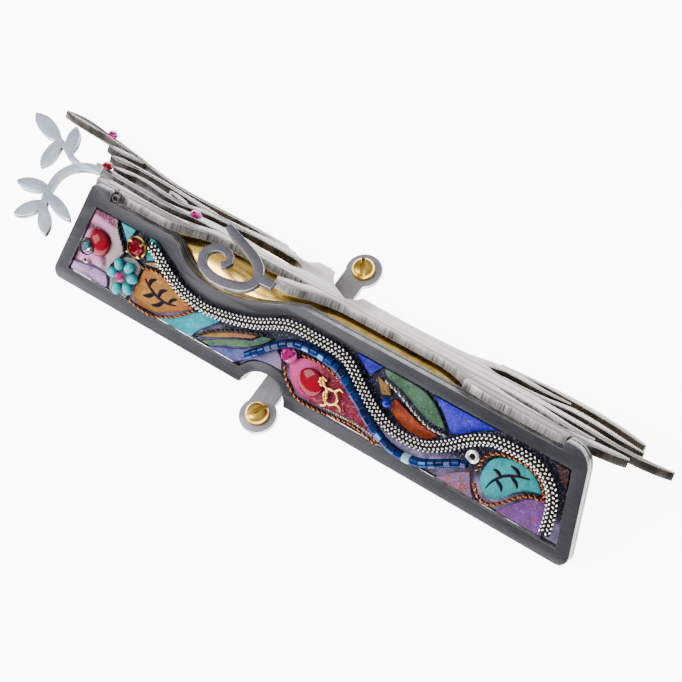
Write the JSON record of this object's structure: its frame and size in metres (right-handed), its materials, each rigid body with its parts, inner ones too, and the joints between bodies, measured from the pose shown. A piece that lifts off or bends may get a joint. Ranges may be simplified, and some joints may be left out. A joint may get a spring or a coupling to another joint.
{
  "type": "mezuzah case",
  "caption": "Tent-shaped mezuzah case: a framed jewelled panel and a cut-out tree of sheet steel over a brass scroll tube, held to the doorpost by a screwed strap.",
  "frame": {"origin": "on the doorpost plane, straight behind the ridge where the panel and the tree plate meet, half way along the panel", "axes": "+X along the case from its top end towards its bottom end, +Y towards the tree plate's side, +Z out of the doorpost"},
  "size_m": [0.1726, 0.0506, 0.0304],
  "materials": {
    "darkened_steel": "dark satin",
    "satin_steel": "satin, striated cut edges",
    "polished_steel": "bright satin",
    "brushed_steel": "brushed",
    "brass": "polished",
    "parchment": "matt",
    "bed_clay": "matt",
    "marbled_clay": "pearly, marbled",
    "lilac_clay": "pearly",
    "turquoise_clay": "pearly",
    "amber_clay": "pearly, marbled",
    "rust_clay": "pearly",
    "green_clay": "pearly",
    "raspberry_clay": "pearly",
    "blue_clay": "satin",
    "violet_clay": "pearly",
    "pearl_clay": "pearly",
    "silver_mesh": "woven, darkened in the gaps",
    "blue_glass": "glossy glass",
    "black_wire": "twisted, blackened",
    "copper_wire": "twisted",
    "silver_wire": "twisted",
    "red_glass": "glossy",
    "clear_crystal": "cut, rainbow coating",
    "gilt_metal": "polished",
    "turquoise_glass": "glossy",
    "pink_glass": "glossy, cut"
  },
  "bodies": {
    "case": {"panel_frame": "darkened_steel", "panel_back_plate": "darkened_steel", "tree_plate": "satin_steel", "mounting_strap": "satin_steel", "curled_branch": "polished_steel", "scroll_ornament": "brushed_steel", "brass_tube": "brass", "tube_end_cap": "brass", "collage_bed": "bed_clay", "cell_marbled": "marbled_clay", "cell_lilac_strip": "lilac_clay", "cell_lilac_arch": "lilac_clay", "cell_speckled": "lilac_clay", "cell_turquoise_tip": "turquoise_clay", "cell_turquoise_long": "turquoise_clay", "cell_turquoise_disc": "turquoise_clay", "cell_orange_leaf": "amber_clay", "cell_orange_band": "rust_clay", "cell_orange_sliver": "rust_clay", "cell_green_band": "green_clay", "cell_olive_leaf": "green_clay", "cell_pink_leaf": "raspberry_clay", "cell_blue_peak": "blue_clay", "cell_blue_wedge": "blue_clay", "cell_purple": "violet_clay", "cell_pearl_ground": "pearl_clay", "cell_turquoise_patch": "turquoise_clay", "cell_gold_crescent": "amber_clay", "cell_amber_bit": "amber_clay", "wire_loop": "black_wire", "cell_maroon": "violet_clay", "mesh_chain": "silver_mesh", "bugle_bead_string": "blue_glass", "blue_bead": "blue_glass", "wire_marble_edge": "black_wire", "wire_beaded_band": "black_wire", "wire_orange_leaf": "copper_wire", "wire_orange_leaf_low": "copper_wire", "wire_pink_leaf": "copper_wire", "wire_turquoise_disc": "copper_wire", "wire_olive_edge": "silver_wire", "silver_ring": "silver_wire", "red_cabochon": "red_glass", "red_rhinestone": "red_glass", "red_oval_stone": "red_glass", "tree_stone_red": "red_glass", "crystal_rhinestone": "clear_crystal", "prong_cup": "gilt_metal", "gold_charm": "gilt_metal", "flower_petals": "turquoise_glass", "flower_crystal": "pink_glass", "fuchsia_bead": "pink_glass", "tree_stone_pink": "pink_glass", "tree_stone_pink_outer": "pink_glass"},
    "plug": {"tube_plug": "brass"},
    "scroll": {"parchment_scroll": "parchment"},
    "panel_side_screw": {"screw_panel_side": "brass"},
    "tree_side_screw": {"screw_tree_side": "brass"}
  },
  "joints": [
    {"name": "plug_pull", "type": "slide", "parent": "case", "child": "plug", "axis": [1, 0, 0], "range_m": [0, 0.04]},
    {"name": "scroll_draw", "type": "slide", "parent": "case", "child": "scroll", "axis": [1, 0, 0], "range_m": [0, 0.03]},
    {"name": "panel_side_screw_turn", "type": "hinge", "parent": "case", "child": "panel_side_screw", "pos_m": [-0.00635, -0.0221, 0], "axis": [0, 0, 1], "continuous": true},
    {"name": "tree_side_screw_turn", "type": "hinge", "parent": "case", "child": "tree_side_screw", "pos_m": [-0.00635, 0.0199, 0], "axis": [0, 0, 1], "continuous": true}
  ],
  "couplings": [
    {"joint": "scroll_draw", "follows": "plug_pull", "ratio": 0.75}
  ]
}
